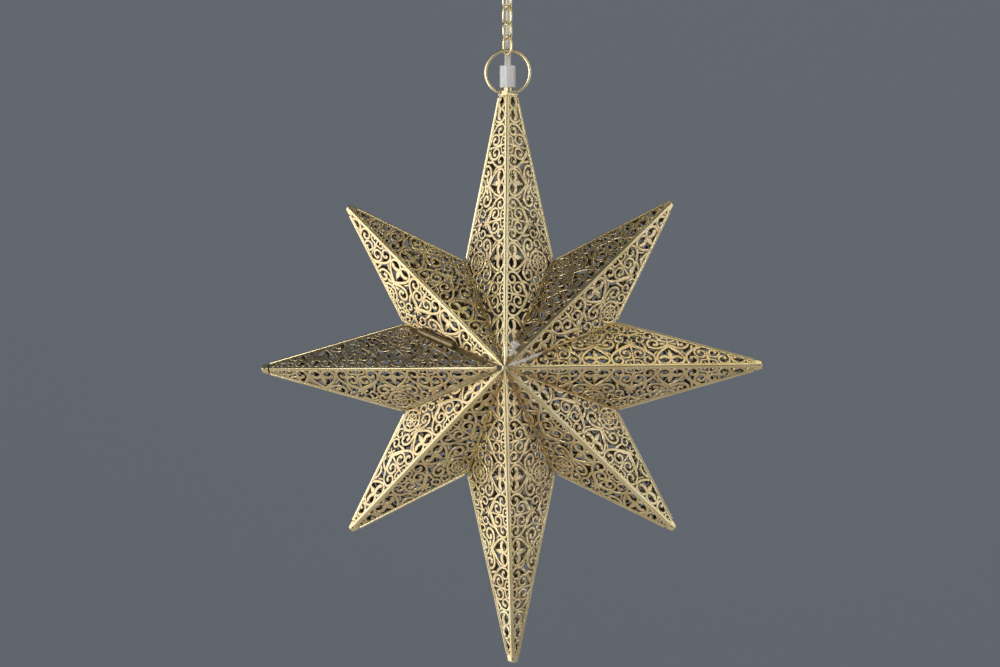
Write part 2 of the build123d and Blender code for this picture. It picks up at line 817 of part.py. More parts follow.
def ridge_bead(name, face, start_gap, end_gap):
    """The wire along one ridge, sunk a little between its two leaves."""
    sunk = (leaf_normal(name, -1, face) + leaf_normal(name, 1, face)).normalized() * -bead_depth
    ridge = tip(name) - apex(face)
    radial = towards(point_angle[name])
    reach = (rim_z - star_z - bead_diameter / 2 if name == "n" else cap_base(name)) - end_gap
    share = reach / ridge.dot(radial)
    rod(apex(face) + ridge.normalized() * start_gap + sunk, apex(face) + ridge * share + sunk, bead_diameter)


for face, face_name in ((-1, "front"), (1, "back")):
    with BuildPart() as ridge_beads:
        for name in point_names:
            if face > 0 or name != "w":
                ridge_bead(name, face, bead_start, cap_gap + bead_depth)
    save(ridge_beads, f"ridge_beads_{face_name}")

with BuildPart() as door_ridge_bead:
    ridge_bead("w", -1, door_bead_start, door_end_gap + bead_depth)
save(door_ridge_bead, "door_ridge_bead")

with BuildPart() as outline_wires:
    for name in point_names:
        for side in (-1, 1):
            sunk = (leaf_normal(name, side, -1) + leaf_normal(name, side, 1)).normalized() * -bead_depth
            low, edge = notch(name, side), tip(name) - notch(name, side)
            radial = towards(point_angle[name])
            reach = rim_z - star_z - bead_diameter / 2 if name == "n" else cap_base(name)
            share = (reach - cap_gap - bead_depth - (low - star_middle).dot(radial)) / edge.dot(radial)
            rod(low + edge.normalized() * wire_end_gap + sunk, low + edge * share + sunk, bead_diameter)
save(outline_wires, "outline_wires")


def cap_half(name, reach):
    """Half the width and half the depth of a point at a distance from the star's middle."""
    left = tip_radii[kind(name)] - reach
    width = notch_half * left / (tip_radii[kind(name)] - notch_reach)
    return width + cap_stand, star_half_depth * left / tip_radii[kind(name)] + cap_stand


with BuildPart() as tip_caps:
    for name in point_names:
        if name == "n":
            continue
        radial = towards(point_angle[name])
        with BuildPart(mode=Mode.PRIVATE) as tip_cap:
            for reach in (cap_base(name), cap_base(name) + cap_length):
                section = Plane(
                    star_middle + radial * reach,
                    x_dir=towards(point_angle[name] + 90),
                    z_dir=radial,
                )
                width, depth = cap_half(name, reach)
                with BuildSketch(section):
                    with BuildLine():
                        Polyline((width, 0), (0, depth), (-width, 0), (0, -depth), close=True)
                    make_face()
            loft()
            base_face = tip_cap.faces().filter_by(lambda f: abs(f.normal_at().dot(radial)) > 0.99)
            base_face = base_face.sort_by(lambda f: (f.center() - star_middle).length)[0]
            fillet(tip_cap.edges() - base_face.edges(), cap_round)
            with BuildSketch(Plane.XZ):
                drilled = star_middle + radial * (cap_base(name) + cap_length / 2)
                with Locations((drilled.X, drilled.Z)):
                    Circle(cap_hole_diameter / 2)
            extrude(amount=star_half_depth / 2, both=True, mode=Mode.SUBTRACT)
        add(tip_cap.part)
save(tip_caps, "tip_caps")

with BuildPart() as centre_bosses:
    for face in (-1, 1):
        with BuildSketch(Plane(apex(face) + Vector(0, face * boss_stand, 0), z_dir=(0, -face, 0))):
            Circle(boss_diameter / 2)
        extrude(amount=boss_height)
    outer = centre_bosses.faces().sort_by(Axis.Y)
    fillet((outer[0].edges() + outer[-1].edges()), boss_stand)
save(centre_bosses, "centre_bosses")


# Door hinge in the valley between the left point and the one above it

valley_low = notch("w", -1)
valley = (apex(-1) - valley_low).normalized()
door_normal = leaf_normal("w", -1, -1)
fixed_normal = leaf_normal("nw", 1, -1)
groove = (door_normal + fixed_normal).normalized()
axis_stand = knuckle_diameter / 2 + strip_thickness + hinge_face_gap
axis_offset = groove * (axis_stand / groove.dot(door_normal))
valley_foot = -axis_stand * tan(radians(groove.get_angle(door_normal)))


def hinge_section(along, normal):
    """The plane across the hinge at a distance along the valley, its X in the leaf and its Y out of it."""
    in_leaf = normal.cross(valley)
    middle = (tip("w") if normal == door_normal else tip("nw")) - valley_low
    in_leaf = in_leaf if middle.dot(in_leaf) > 0 else -in_leaf
    return Plane(valley_low + valley * along + axis_offset, x_dir=in_leaf, z_dir=in_leaf.cross(normal))


def strip(start, end, normal):
    """A plain strip on a leaf beside the valley, added to the part that is being built."""
    with BuildSketch(hinge_section((start + end) / 2, normal)) as section:
        with Locations((valley_foot + strip_valley_gap + strip_width / 2, -axis_stand + strip_thickness / 2)):
            Rectangle(strip_width, strip_thickness)
    extrude(section.sketch, amount=(end - start) / 2, both=True)


def knuckle(start, normal):
    """One knuckle of the hinge with its foot on a leaf, added to the part that is being built."""
    with BuildSketch(hinge_section(start + knuckle_length / 2, normal)) as section:
        Circle(knuckle_diameter / 2)
        with Locations((0, -axis_stand / 2)):
            Rectangle(hinge_foot_width, axis_stand)
        Circle(hinge_pin_diameter / 2 + hinge_pin_clearance, mode=Mode.SUBTRACT)
    extrude(section.sketch, amount=knuckle_length / 2, both=True)


knuckle_starts = [hinge_start + n * (knuckle_length + knuckle_gap) for n in range(3)]
hinge_end = knuckle_starts[-1] + knuckle_length
valley_length = (apex(-1) - valley_low).length

with BuildPart() as hinge_leaf_fixed:
    strip(hinge_start, hinge_end, fixed_normal)
    knuckle(knuckle_starts[0], fixed_normal)
    knuckle(knuckle_starts[2], fixed_normal)
save(hinge_leaf_fixed, "hinge_leaf_fixed")

with BuildPart() as hinge_leaf_door:
    strip(strip_notch_gap, valley_length - strip_apex_gap, door_normal)
    knuckle(knuckle_starts[1], door_normal)
save(hinge_leaf_door, "hinge_leaf_door")

with BuildPart() as hinge_pin:
    pin_start = valley_low + axis_offset + valley * (hinge_start - hinge_head_gap)
    pin_end = valley_low + axis_offset + valley * (hinge_end + hinge_head_gap)
    rod(pin_start, pin_end, hinge_pin_diameter)
    rod(pin_start, pin_start - valley * hinge_pin_head_height, hinge_pin_head)
    rod(pin_end, pin_end + valley * hinge_pin_head_height, hinge_pin_head)
save(hinge_pin, "hinge_pin")

with BuildPart() as door_edge_strip:
    low = notch("w", 1)
    other_valley = (apex(-1) - low).normalized()
    other_normal = leaf_normal("w", 1, -1)
    in_leaf = other_normal.cross(other_valley)
    in_leaf = in_leaf if (tip("w") - low).dot(in_leaf) > 0 else -in_leaf
    strip_length = valley_length - strip_notch_gap - strip_apex_gap
    middle = low + other_valley * (strip_notch_gap + strip_length / 2)
    with BuildSketch(Plane(middle, x_dir=in_leaf, z_dir=in_leaf.cross(other_normal))):
        with Locations((strip_valley_gap + strip_width / 2, strip_thickness / 2)):
            Rectangle(strip_width, strip_thickness)
    extrude(amount=strip_length / 2, both=True)
save(door_edge_strip, "door_edge_strip")

print(f"hook wire z {hook_wire_z:.2f}, ring z {ring_z:.2f}, pivot z {pivot_z:.2f}, star z {star_z:.2f}")
print(f"grip z {grip_bottom:.2f} to {grip_top:.2f}, rim z {rim_z:.2f}, first link top {first_link_top:.2f}")
hinge_axis = valley_low + axis_offset
print("door hinge axis", tuple(round(x, 4) for x in hinge_axis), "along", tuple(round(x, 6) for x in -valley))
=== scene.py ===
import math

import bmesh
import bpy
import numpy as np
from mathutils import Matrix, Vector


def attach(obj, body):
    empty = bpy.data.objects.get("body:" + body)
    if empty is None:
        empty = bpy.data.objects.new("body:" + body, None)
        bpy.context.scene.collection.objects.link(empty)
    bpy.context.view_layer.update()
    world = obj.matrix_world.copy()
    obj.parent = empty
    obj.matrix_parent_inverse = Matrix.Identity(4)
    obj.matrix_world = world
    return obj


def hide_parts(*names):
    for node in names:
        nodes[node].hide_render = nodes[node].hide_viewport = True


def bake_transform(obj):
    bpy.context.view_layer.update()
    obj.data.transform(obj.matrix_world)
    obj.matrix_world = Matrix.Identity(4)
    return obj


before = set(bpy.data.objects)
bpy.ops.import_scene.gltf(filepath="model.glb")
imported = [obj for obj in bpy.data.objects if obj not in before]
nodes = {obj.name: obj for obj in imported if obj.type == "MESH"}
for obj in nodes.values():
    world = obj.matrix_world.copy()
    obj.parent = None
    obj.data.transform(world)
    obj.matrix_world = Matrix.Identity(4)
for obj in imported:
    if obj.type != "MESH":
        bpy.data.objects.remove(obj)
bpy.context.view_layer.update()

MM = 0.001


# Finishes


class Tone:
    """A shader value: arithmetic on it adds Math nodes to its finish."""

    def __init__(self, finish, socket):
        self.finish = finish
        self.socket = socket

    def math(self, operation, first, second):
        return self.finish.add("ShaderNodeMath", {"operation": operation}, {0: first, 1: second})

    def __add__(self, other):
        return self.math("ADD", self, other)

    __radd__ = __add__

    def __sub__(self, other):
        return self.math("SUBTRACT", self, other)

    def __rsub__(self, other):
        return self.math("SUBTRACT", other, self)

    def __mul__(self, other):
        return self.math("MULTIPLY", self, other)

    __rmul__ = __mul__


class Finish:
    """A material made of nodes, around one Principled surface."""

    def __init__(self, name, **fixed):
        self.material = bpy.data.materials.new(name)
        self.material.use_nodes = True
        self.tree = self.material.node_tree
        self.tree.nodes.clear()
        self.output = self.tree.nodes.new("ShaderNodeOutputMaterial")
        self.surface = self.tree.nodes.new("ShaderNodeBsdfPrincipled")
        self.tree.links.new(self.surface.outputs[0], self.output.inputs["Surface"])
        self.coords = self.add("ShaderNodeTexCoord", {}, {}, "Object")
        self.set(**{name.replace("_", " "): value for name, value in fixed.items()})

    def add(self, kind, settings, sockets, out=0):
        node = self.tree.nodes.new(kind)
        for name, value in settings.items():
            if name == "stops":
                ramp = node.color_ramp.elements
                while len(ramp) < len(value):
                    ramp.new(1)
                for element, (place, colour) in zip(ramp, value):
                    element.position = place
                    element.color = (*colour, 1)
            else:
                setattr(node, name, value)
        for name, value in sockets.items():
            if isinstance(value, Tone):
                self.tree.links.new(value.socket, node.inputs[name])
            else:
                node.inputs[name].default_value = value
        return Tone(self, node.outputs[out])

    def set(self, **sockets):
        for name, value in sockets.items():
            socket = self.surface.inputs[name]
            if isinstance(value, Tone):
                self.tree.links.new(value.socket, socket)
            else:
                socket.default_value = value

    def noise(self, scale, detail=3, rough=0.55):
        sockets = {"Vector": self.coords, "Scale": scale, "Detail": detail, "Roughness": rough}
        return self.add("ShaderNodeTexNoise", {}, sockets, "Fac")

    def attribute(self, name):
        return self.add("ShaderNodeAttribute", {"attribute_name": name}, {}, "Fac")

    def ramp(self, value, *stops):
        return self.add("ShaderNodeValToRGB", {"stops": stops}, {"Fac": value}, "Color")

    def spread(self, value, low, high):
        """A value stretched so that low becomes 0 and high becomes 1."""
        sockets = {"Value": value, "From Min": low, "From Max": high}
        return self.add("ShaderNodeMapRange", {"clamp": True}, sockets, "Result")

    def mix(self, share, first, second):
        settings = {"data_type": "RGBA", "blend_type": "MIX"}
        return self.add("ShaderNodeMix", settings, {0: share, 6: first, 7: second}, 2)

    def shade(self, share, colour):
        """A colour darkened by a share."""
        settings = {"data_type": "RGBA", "blend_type": "MULTIPLY"}
        levels = {"Red": share, "Green": share, "Blue": share}
        grey = self.add("ShaderNodeCombineColor", {}, levels, "Color")
        return self.add("ShaderNodeMix", settings, {0: 1.0, 6: colour, 7: grey}, 2)

    def bump(self, height, strength, distance):
        sockets = {"Height": height, "Strength": strength, "Distance": distance}
        self.set(Normal=self.add("ShaderNodeBump", {}, sockets, "Normal"))

    def on(self, *objects):
        for each in objects:
            each.data.materials.clear()
            each.data.materials.append(self.material)


def stamped_brass():
    """Thin stamped brass, lacquered: warm and pink patches, random tarnish, and painted shade on the low
    sides of the strands.
    """
    brass = Finish("stamped_brass", Metallic=1.0, Coat_Weight=0.1, Coat_Roughness=0.2)
    patch = brass.noise(14, 2)
    grain = brass.noise(420, 4, 0.6)
    warm = brass.ramp(
        patch,
        (0.30, (0.62, 0.49, 0.25)),
        (0.46, (0.80, 0.67, 0.39)),
        (0.60, (0.74, 0.58, 0.35)),
        (0.74, (0.85, 0.76, 0.49)),
    )
    # Painted shade: the brass darkens to a dark brown towards the foot of each strand and on the margins'
    # backs, by their rise.
    painted_light_share = brass.spread(brass.attribute("rise"), 0.0, 0.55)
    stain = brass.spread(brass.noise(55, 4, 0.65), 0.52, 0.72)
    colour = brass.mix(painted_light_share, (0.13, 0.10, 0.055, 1), brass.mix(stain * 0.5, warm, (0.36, 0.28, 0.15, 1)))
    brass.set(**{"Base Color": colour, "Roughness": 0.13 + 0.16 * grain + 0.1 * stain})
    brass.bump(brass.noise(260, 3, 0.5) + grain * 0.3, 0.4, 0.0011)
    return brass


def drawn_brass(name, low, middle, high, rough):
    """Brass wire and strip with fine drawing lines and a few dull patches."""
    brass = Finish(name, Metallic=1.0, Coat_Weight=0.1, Coat_Roughness=0.15)
    patch = brass.noise(30, 2)
    grain = brass.noise(700, 3)
    colour = brass.ramp(patch, (0.3, low), (0.5, middle), (0.7, high))
    dull = brass.spread(brass.noise(160, 4, 0.65), 0.58, 0.75)
    colour = brass.mix(dull * 0.5, colour, (0.30, 0.20, 0.09, 1))
    brass.set(**{"Base Color": colour, "Roughness": rough + 0.14 * grain + 0.15 * dull})
    brass.bump(grain, 0.08, 0.0003)
    return brass


def edge_brass():
    """The door's plain edge: darker towards the top, by the hinge, and paler towards the bottom, along the
    lower valley.
    """
    pale_below, dark_above = -0.415, -0.39
    brass = Finish("edge_brass", Metallic=1.0)
    height = brass.add("ShaderNodeSeparateXYZ", {}, {"Vector": brass.coords}, "Z")
    lower = 1 - brass.spread(height, pale_below, dark_above)
    grain = brass.noise(240, 4, 0.6)
    dark = brass.ramp(grain, (0.35, (0.22, 0.17, 0.09)), (0.65, (0.38, 0.31, 0.19)))
    pale = brass.ramp(grain, (0.35, (0.50, 0.43, 0.29)), (0.65, (0.80, 0.73, 0.55)))
    brass.set(**{"Base Color": brass.mix(lower, dark, pale), "Roughness": 0.3 + 0.2 * grain})
    brass.bump(grain, 0.35, 0.0008)
    return brass


def soft_solder():
    """Grey-white soft solder, lumpy and half bright."""
    solder = Finish("soft_solder", Metallic=0.2)
    lumps = solder.noise(260, 4, 0.6)
    colour = solder.ramp(lumps, (0.35, (0.70, 0.66, 0.56)), (0.6, (0.93, 0.90, 0.82)))
    solder.set(**{"Base Color": colour, "Roughness": 0.32 + 0.25 * lumps})
    solder.bump(lumps, 0.5, 0.0008)
    return solder


def plain_steel():
    """Zinc-plated steel."""
    steel = Finish("plated_steel", Metallic=1.0)
    grain = steel.noise(300, 3)
    colour = steel.ramp(grain, (0.3, (0.45, 0.46, 0.47)), (0.7, (0.62, 0.62, 0.60)))
    steel.set(**{"Base Color": colour, "Roughness": 0.28 + 0.2 * grain})
    return steel


def flex_cover():
    """The flex's pale soft plastic, a little yellowed."""
    cover = Finish("flex_cover", Subsurface_Weight=0.12, Subsurface_Scale=0.002, Coat_Weight=0.25)
    cover.set(**{"Subsurface Radius": (1, 1, 1)})
    soil = cover.noise(90, 4)
    colour = cover.ramp(soil, (0.3, (0.74, 0.71, 0.62)), (0.6, (0.84, 0.82, 0.75)))
    cover.set(**{"Base Color": colour, "Roughness": 0.3 + 0.15 * soil})
    cover.bump(cover.noise(500, 2), 0.05, 0.0003)
    return cover


def milky_nylon():
    """The cord grip's milky nylon."""
    nylon = Finish("milky_nylon", Transmission_Weight=0.12, Subsurface_Weight=0.4, Subsurface_Scale=0.004)
    nylon.set(**{"Subsurface Radius": (1, 1, 1)})
    cloud = nylon.noise(150, 3)
    colour = nylon.ramp(cloud, (0.3, (0.90, 0.91, 0.92)), (0.7, (0.96, 0.97, 0.97)))
    nylon.set(**{"Base Color": colour, "Roughness": 0.18 + 0.14 * cloud})
    nylon.bump(nylon.noise(350, 2), 0.06, 0.0004)
    return nylon


def moulded_plastic(name, low, high):
    """Moulded plastic with a fine spark-eroded texture."""
    plastic = Finish(name, Coat_Weight=0.1)
    grain = plastic.noise(900, 3)
    colour = plastic.ramp(grain, (0.35, low), (0.65, high))
    plastic.set(**{"Base Color": colour, "Roughness": 0.34 + 0.18 * grain})
    plastic.bump(grain, 0.08, 0.0002)
    return plastic


def frosted_glass():
    """The bulb's frosted glass."""
    glass = Finish("frosted_glass", Transmission_Weight=0.7, IOR=1.45)
    cloud = glass.noise(120, 2)
    colour = glass.ramp(cloud, (0.3, (0.86, 0.86, 0.83)), (0.7, (0.94, 0.94, 0.91)))
    glass.set(**{"Base Color": colour, "Roughness": 0.38 + 0.1 * cloud})
    return glass


stamped = stamped_brass()
bright = drawn_brass("bright_brass", (0.72, 0.58, 0.31), (0.84, 0.72, 0.43), (0.88, 0.79, 0.53), 0.16)
aged = drawn_brass("aged_brass", (0.22, 0.17, 0.09), (0.32, 0.26, 0.15), (0.40, 0.33, 0.21), 0.34)
edge = edge_brass()
solder = soft_solder()
steel = plain_steel()
cover = flex_cover()
nylon = milky_nylon()
black_plastic = moulded_plastic("black_plastic", (0.012, 0.012, 0.013), (0.022, 0.022, 0.023))
white_plastic = moulded_plastic("white_plastic", (0.76, 0.75, 0.72), (0.84, 0.83, 0.80))
glass = frosted_glass()


# Geometry node trees


class Tree:
    """A geometry node tree with named inputs, run on an object and turned into a plain mesh."""

    def __init__(self, name, inputs):
        self.group = bpy.data.node_groups.new(name, "GeometryNodeTree")
        sockets = self.group.interface
        sockets.new_socket("Geometry", in_out="INPUT", socket_type="NodeSocketGeometry")
        for label in inputs:
            sockets.new_socket(label, in_out="INPUT", socket_type="NodeSocketFloat")
        sockets.new_socket("Geometry", in_out="OUTPUT", socket_type="NodeSocketGeometry")
        self.inlet = self.group.nodes.new("NodeGroupInput")
        self.outlet = self.group.nodes.new("NodeGroupOutput")

    def named(self, name):
        return self.inlet.outputs[name]

    def add(self, kind, settings=None, sockets=None, out=0):
        node = self.group.nodes.new(kind)
        for name, value in (settings or {}).items():
            setattr(node, name, value)
        for name, value in (sockets or {}).items():
            if isinstance(value, bpy.types.NodeSocket):
                self.group.links.new(value, node.inputs[name])
            else:
                node.inputs[name].default_value = value
        return node.outputs[out]

    def math(self, operation, first, second):
        return self.add("ShaderNodeMath", {"operation": operation}, {0: first, 1: second})

    def close(self, geometry, material):
        geometry = self.add("GeometryNodeSetShadeSmooth", {}, {"Geometry": geometry, "Shade Smooth": True})
        geometry = self.add("GeometryNodeRealizeInstances", {}, {"Geometry": geometry})
        geometry = self.add("GeometryNodeSetMaterial", {}, {"Geometry": geometry, "Material": material})
        self.group.links.new(geometry, self.outlet.inputs[0])

    def run(self, source, values, name):
        """The mesh that the tree makes from a source mesh with these named inputs."""
        piece = bpy.data.objects.new(name, source)
        bpy.context.scene.collection.objects.link(piece)
        modifier = piece.modifiers.new(name, "NODES")
        modifier.node_group = self.group
        for item in self.group.interface.items_tree:
            if item.in_out == "INPUT" and item.name in values:
                modifier[item.identifier] = values[item.name]
        ready = piece.evaluated_get(bpy.context.evaluated_depsgraph_get())
        mesh = bpy.data.meshes.new_from_object(ready)
        bpy.data.objects.remove(piece)
        return mesh


def strand_tree():
    """Lines in a flat pattern become flat-topped strands, each as wide as its own half_width."""
    tree = Tree("strands", ("Rise", "Round", "Top", "Bottom"))
    lines = tree.add("GeometryNodeMeshToCurve", {}, {"Mesh": tree.named("Geometry")})
    lines = tree.add("GeometryNodeSetCurveNormal", {"mode": "Z_UP"}, {"Curve": lines})
    width = tree.add("GeometryNodeInputNamedAttribute", {"data_type": "FLOAT"}, {"Name": "half_width"})
    sizes = {"Width": 2.0, "Height": tree.math("MULTIPLY", tree.named("Rise"), 2.0)}
    section = tree.add("GeometryNodeCurvePrimitiveQuadrilateral", {"mode": "RECTANGLE"}, sizes)
    rounding = {"Curve": section, "Radius": tree.named("Round"), "Count": 3}
    section = tree.add("GeometryNodeFilletCurve", {"mode": "POLY"}, rounding)
    swept = {"Curve": lines, "Profile Curve": section, "Scale": width, "Fill Caps": True}
    strands = tree.add("GeometryNodeCurveToMesh", {}, swept)
    place = tree.add("GeometryNodeInputPosition")
    x, y, z = (tree.add("ShaderNodeSeparateXYZ", {}, {"Vector": place}, axis) for axis in "XYZ")
    level = tree.math("MAXIMUM", tree.math("MINIMUM", z, tree.named("Top")), tree.named("Bottom"))
    pressed = tree.add("ShaderNodeCombineXYZ", {}, {"X": x, "Y": y, "Z": level})
    strands = tree.add("GeometryNodeSetPosition", {}, {"Geometry": strands, "Position": pressed})
    # The rise, 0 at a strand's foot and 1 at its top, sets where the brass paints shade.
    limits = {"Value": level, "From Min": tree.named("Bottom"), "From Max": tree.named("Top")}
    share = tree.add("ShaderNodeMapRange", {}, limits, "Result")
    strands = tree.add(
        "GeometryNodeStoreNamedAttribute",
        {"data_type": "FLOAT", "domain": "POINT"},
        {"Geometry": strands, "Name": "rise", "Value": share},
    )
    tree.close(strands, stamped.material)
    return tree


def link_tree():
    """A chain link: a wire bent into an upright oval, turned about its own height."""
    circle = ("GeometryNodeCurvePrimitiveCircle", {"mode": "RADIUS"})
    fullness = 0.77
    tree = Tree("chain_link", ("Inner Width", "Inner Length", "Wire", "Turn", "Height"))
    wide = tree.math("ADD", tree.named("Inner Width"), tree.named("Wire"))
    tall = tree.math("ADD", tree.named("Inner Length"), tree.named("Wire"))
    loop = tree.add(*circle, {"Resolution": 52, "Radius": 1.0})
    place = tree.add("GeometryNodeInputPosition")
    fuller = []
    for axis, size in (("X", wide), ("Y", tall)):
        part = tree.add("ShaderNodeSeparateXYZ", {}, {"Vector": place}, axis)
        far = tree.math("POWER", tree.math("ABSOLUTE", part, 0.0), fullness)
        signed = tree.math("MULTIPLY", far, tree.math("SIGN", part, 0.0))
        fuller.append(tree.math("MULTIPLY", signed, size))
    oval = tree.add("ShaderNodeCombineXYZ", {}, {"X": fuller[0], "Y": fuller[1], "Z": 0.0})
    loop = tree.add("GeometryNodeSetPosition", {}, {"Geometry": loop, "Position": oval})
    loop = tree.add("GeometryNodeTransform", {}, {"Geometry": loop, "Scale": (0.5, 0.5, 0.5)})
    thick = tree.math("MULTIPLY", tree.named("Wire"), 0.5)
    section = tree.add(*circle, {"Resolution": 14, "Radius": thick})
    link = tree.add("GeometryNodeCurveToMesh", {}, {"Curve": loop, "Profile Curve": section})
    turn = tree.add("ShaderNodeCombineXYZ", {}, {"X": math.pi / 2, "Y": 0.0, "Z": tree.named("Turn")})
    lift = tree.add("ShaderNodeCombineXYZ", {}, {"X": 0.0, "Y": 0.0, "Z": tree.named("Height")})
    link = tree.add("GeometryNodeTransform", {}, {"Geometry": link, "Translation": lift, "Rotation": turn})
    tree.close(link, bright.material)
    return tree


def piece(name, mesh, body=None, stands_for=(), slot=None, finish=None):
    """A finished object with its place in its mesh."""
    made = bpy.data.objects.new(name, mesh)
    bpy.context.scene.collection.objects.link(made)
    if finish:
        finish.on(made)
    if body:
        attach(made, body)
    if stands_for:
        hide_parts(*stands_for)
    return made


def joined(meshes):
    """Several meshes as one, keeping their rise and their material."""
    points, faces, rises = [], [], []
    for mesh in meshes:
        start = sum(len(p) for p in points)
        co = np.zeros(len(mesh.vertices) * 3)
        mesh.vertices.foreach_get("co", co)
        points.append(co.reshape(-1, 3))
        rise = mesh.attributes.get("rise")
        values = np.ones(len(mesh.vertices))
        if rise is not None:
            rise.data.foreach_get("value", values)
        rises.append(values)
        faces += [[start + v for v in polygon.vertices] for polygon in mesh.polygons]
    whole = bpy.data.meshes.new("joined")
    whole.from_pydata(np.concatenate(points).tolist(), [], faces)
    whole.attributes.new("rise", "FLOAT", "POINT").data.foreach_set("value", np.concatenate(rises))
    whole.polygons.foreach_set("use_smooth", [True] * len(whole.polygons))
    whole.set_sharp_from_angle(angle=math.radians(50))
    whole.update()
    return whole


def outward(mesh):
    """A closed mesh with its faces pointing outwards."""
    work = bmesh.new()
    work.from_mesh(mesh)
    bmesh.ops.recalc_face_normals(work, faces=work.faces)
    work.to_mesh(mesh)
    work.free()
    return mesh


def lofted(name, rows):
    """A closed mesh through rings of points, one ring for each row, with both its ends filled."""
    sides = len(rows[0])
    faces = []
    for n in range(len(rows) - 1):
        for m in range(sides):
            k = (m + 1) % sides
            faces.append([n * sides + m, n * sides + k, (n + 1) * sides + k, (n + 1) * sides + m])
    faces.append(list(range(sides))[::-1])
    faces.append([(len(rows) - 1) * sides + m for m in range(sides)])
    mesh = bpy.data.meshes.new(name)
    mesh.from_pydata([tuple(point) for row in rows for point in row], [], faces)
    mesh.polygons.foreach_set("use_smooth", [True] * len(mesh.polygons))
    return outward(mesh)


# The star's shape, in millimetres from its middle, the same as the solids

star_middle = Vector((0, 0, -398.7))
half_depth = 60.0
notch_radius = 97.4
tip_radius = {"long": 267.0, "side": 222.6, "short": 201.6}
tip_blunt = {"long": 19.0, "side": 11.6, "short": 8.6}
cap_length = 6.0
rim_reach = 228.12
point_names = ["e", "ne", "n", "nw", "w", "sw", "s", "se"]
notch_turn = 22.5
notch_reach = notch_radius * math.cos(math.radians(notch_turn))


def kind(name):
    if len(name) == 2:
        return "short"
    return "long" if name in "ns" else "side"


def towards(angle):
    return Vector((math.cos(math.radians(angle)), 0, math.sin(math.radians(angle))))


def point_angle(name):
    return 45 * point_names.index(name)


def apex(face):
    return star_middle + Vector((0, face * half_depth, 0))


def tip(name):
    return star_middle + towards(point_angle(name)) * tip_radius[kind(name)]


def notch(name, side):
    return star_middle + towards(point_angle(name) + side * notch_turn) * notch_radius


def cap_start(name):
    """The distance from the middle at which a point's cap begins."""
    if name == "n":
        return rim_reach
    return tip_radius[kind(name)] - tip_blunt[kind(name)] - cap_length


def leaf_normal(name, side, face):
    normal = (tip(name) - apex(face)).cross(notch(name, side) - apex(face)).normalized()
    return normal if normal.y * face > 0 else -normal


def leaf_place(name, side, face):
    """The turn and place of a leaf, and on which side of its ridge it lies."""
    x = (tip(name) - apex(face)).normalized()
    z = leaf_normal(name, side, face)
    y = z.cross(x)
    place = Matrix.Translation(apex(face)) @ Matrix((x, y, z)).transposed().to_4x4()
    hand = 1 if (notch(name, side) - apex(face)).dot(y) > 0 else -1
    return Matrix.Scale(MM, 4) @ place, hand


def cut(points, place, direction):
    """The part of a flat outline that lies on one side of a straight line."""
    kept = []
    for here, after in zip(points, points[1:] + points[:1]):
        a, b = (here - place).dot(direction), (after - place).dot(direction)
        if a >= 0:
            kept.append(here)
        if a * b < 0:
            kept.append(here + (after - here) * (a / (a - b)))
    return kept


def leaf_outline(shape, reach, edges):
    """The corners of a leaf on its own flat plane, cut back from its ridge, outline, valley and end."""
    radius = tip_radius[shape]
    length = math.hypot(radius, half_depth)
    along = (notch_reach * radius + half_depth**2) / length
    low = Vector((along, math.sqrt(notch_radius**2 + half_depth**2 - along**2)))
    end, top = Vector((length, 0)), Vector((0, 0))
    ridge, outline, valley = edges
    corners = cut([top, end, low], Vector((0, ridge)), Vector((0, 1)))
    inward = (low - end).normalized()
    inward = Vector((inward.y, -inward.x))
    inward = inward if (top - end).dot(inward) > 0 else -inward
    corners = cut(corners, end + inward * outline, inward)
    inward = Vector((low.y, -low.x)).normalized()
    corners = cut(corners, inward * valley, inward)
    slope = Vector((radius / length, (notch_reach - along * radius / length) / low.y))
    return cut(corners, slope * (reach / slope.length_squared), -slope)


# The scroll pattern: lines along and from the ridge, with half their width, in millimetres

pattern_pitch = 63.7
back_shift = 20.0
heart_start = {"e": 13.9, "ne": 38.5, "n": 32.0, "nw": 0.8, "w": 37.5, "sw": 36.6, "s": 32.0, "se": 36.0}


def smooth(points, width, ends=(1, 1), steps=4):
    """A smooth line through points, with a share of its width at its ends."""
    p = [np.array(q, float) for q in points]
    p = [2 * p[0] - p[1]] + p + [2 * p[-1] - p[-2]]
    line = []
    for a, b, c, d in zip(p, p[1:], p[2:], p[3:]):
        for t in np.arange(steps) / steps:
            square = (2 * a - 5 * b + 4 * c - d) * t**2
            cube = (3 * b - a - 3 * c + d) * t**3
            line.append(0.5 * (2 * b + (c - a) * t + square + cube))
    line.append(p[-2])
    shares = np.interp(np.linspace(0, 1, len(line)), (0, 0.2, 0.8, 1), (ends[0], 1, 1, ends[1]))
    return [(q[0], q[1], width * share) for q, share in zip(line, shares)]


def spiral(middle, start, end, angle, turns, width):
    """A curl from its outer radius in to its inner one."""
    count = int(12 * abs(turns)) + 2
    line = []
    for n in range(count):
        share = n / (count - 1)
        radius = start + (end - start) * share**1.5
        bearing = math.radians(angle + 360 * turns * share)
        point = (middle[0] + radius * math.cos(bearing), middle[1] + radius * math.sin(bearing))
        line.append((*point, width * (1 + 0.35 * max(0, share - 0.75) * 4)))
    return line


def ring(middle, radius, width):
    return spiral(middle, radius, radius, 0, 1, width)


def mirrored(line):
    return [(-u, v, w) for u, v, w in line]


